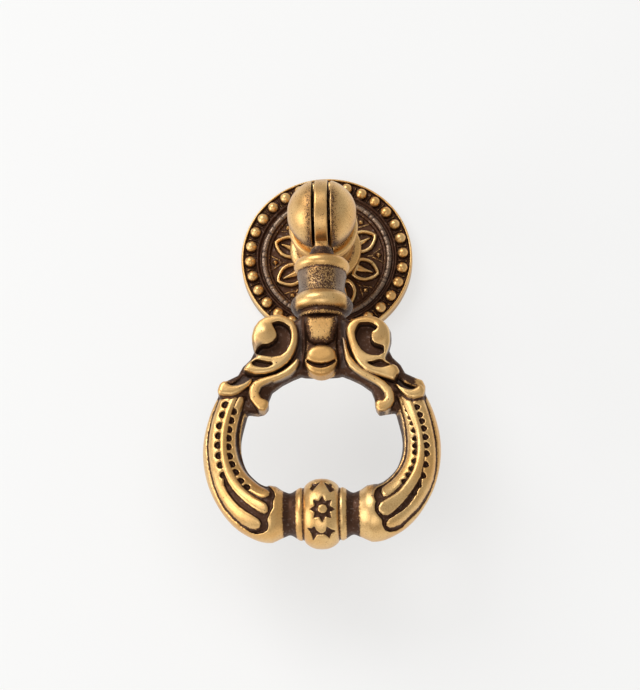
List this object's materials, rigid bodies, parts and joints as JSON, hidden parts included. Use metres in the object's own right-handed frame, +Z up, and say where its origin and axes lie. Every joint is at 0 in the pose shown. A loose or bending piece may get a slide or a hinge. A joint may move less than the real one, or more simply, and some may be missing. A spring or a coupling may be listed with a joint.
{
  "type": "drop pull",
  "caption": "Antiqued brass drop pull: round beaded rosette, post with slotted ball head, and a scrolled, swelling ring handle that swings on a cross pin.",
  "frame": {"origin": "centre of the backplate's back face, on the axis of the post and of its tapped hole", "axes": "+Z up along the hanging drop, -Y out from the furniture towards the user, +X to the right seen from the front"},
  "size_m": [0.0492, 0.0354, 0.0935],
  "materials": {
    "rosette_brass": "antiqued, dark in the recesses, rubbed bright on the high points",
    "post_brass": "antiqued, burnished grey-brown on the ball",
    "pin_brass": "dark, worn",
    "drop_brass": "antiqued, dark in the recesses, rubbed bright on the high points"
  },
  "bodies": {
    "mounted": {"backplate": "rosette_brass", "post": "post_brass", "pivot_pin": "pin_brass"},
    "drop": {"drop": "drop_brass"}
  },
  "joints": [
    {"name": "drop_swing", "type": "hinge", "parent": "mounted", "child": "drop", "pos_m": [0, -0.028, 0], "axis": [-1, 0, 0], "range_deg": [-14, 194]}
  ]
}
